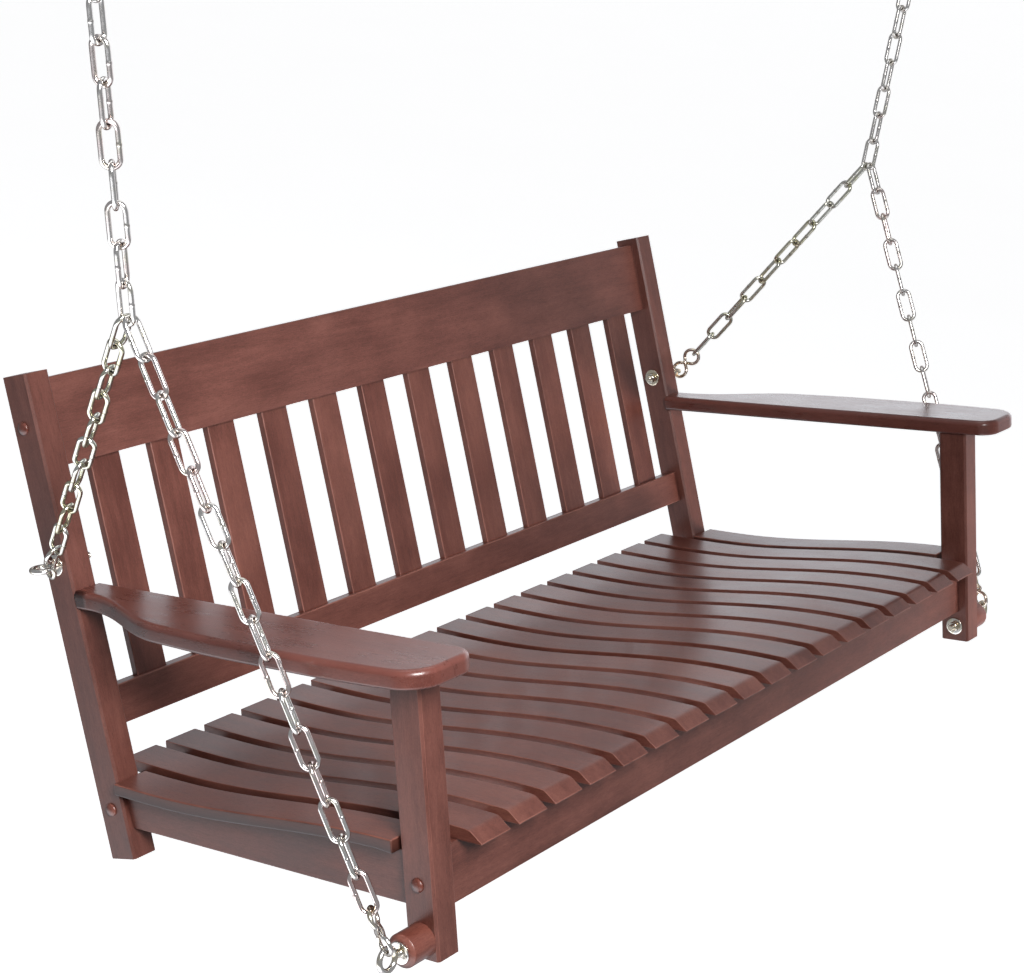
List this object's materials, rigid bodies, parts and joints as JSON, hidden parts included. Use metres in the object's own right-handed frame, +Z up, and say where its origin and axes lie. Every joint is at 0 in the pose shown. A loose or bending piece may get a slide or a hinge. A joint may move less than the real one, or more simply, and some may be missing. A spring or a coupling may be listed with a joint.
{
  "type": "porch swing",
  "caption": "Slatted wooden two-seat porch swing with a raked back, contoured seat and flat armrests, hung from joined chains on a pair of ceiling screw hooks.",
  "frame": {"origin": "midway between the two hook screw shanks, on the ceiling plane where the screws enter", "axes": "+Z up into the ceiling along the hook screws, +X along the bench to the right of a person facing it, +Y from the front of the seat to its back"},
  "size_m": [1.5824, 0.66, 1.0975],
  "materials": {
    "frame_wood": "satin",
    "slat_wood": "satin",
    "arm_wood": "satin",
    "turned_wood": "satin red-brown stain, turned",
    "chain_steel": "bright zinc plate with a pale yellow tint",
    "connector_steel": "zinc plate with a pale yellow tint",
    "eye_steel": "zinc plate",
    "hook_steel": "zinc plate",
    "bolt_steel": "dull zinc plate"
  },
  "bodies": {
    "ceiling_hooks": {"left_ceiling_hook": "hook_steel", "right_ceiling_hook": "hook_steel"},
    "left_hanger": {"left_upper_chain": "chain_steel"},
    "right_hanger": {"right_upper_chain": "chain_steel"},
    "bench": {"left_front_post": "frame_wood", "right_front_post": "frame_wood", "left_back_post": "frame_wood", "right_back_post": "frame_wood", "top_back_rail": "frame_wood", "bottom_back_rail": "frame_wood", "back_slats": "slat_wood", "seat_slats": "slat_wood", "outer_seat_slats": "slat_wood", "left_armrest": "arm_wood", "right_armrest": "arm_wood", "left_side_rail": "frame_wood", "right_side_rail": "frame_wood", "front_rail": "frame_wood", "rear_seat_rail": "frame_wood", "centre_support": "frame_wood", "button_plugs": "turned_wood", "frame_bolts": "bolt_steel", "barrel_nuts": "bolt_steel", "arm_screws": "bolt_steel", "wood_spacers": "turned_wood", "front_eye_bolts": "eye_steel", "rear_eye_bolts": "eye_steel", "eye_washers": "eye_steel", "eye_nuts": "eye_steel", "front_connectors": "connector_steel", "rear_connectors": "connector_steel", "left_front_chain": "chain_steel", "right_front_chain": "chain_steel", "left_rear_chain": "chain_steel", "right_rear_chain": "chain_steel"}
  },
  "joints": [
    {"name": "left_swing", "type": "hinge", "parent": "ceiling_hooks", "child": "left_hanger", "pos_m": [-0.77308, 0, -0.04283], "axis": [1, 0, 0], "range_deg": [-35, 35]},
    {"name": "right_swing", "type": "hinge", "parent": "ceiling_hooks", "child": "right_hanger", "pos_m": [0.77308, 0, -0.04283], "axis": [1, 0, 0], "range_deg": [-35, 35]},
    {"name": "bench_pitch", "type": "hinge", "parent": "left_hanger", "child": "bench", "pos_m": [-0.7197, 0, -0.37239], "axis": [1, 0, 0], "range_deg": [-15, 15]}
  ],
  "couplings": [
    {"joint": "right_swing", "follows": "left_swing", "ratio": 1}
  ]
}
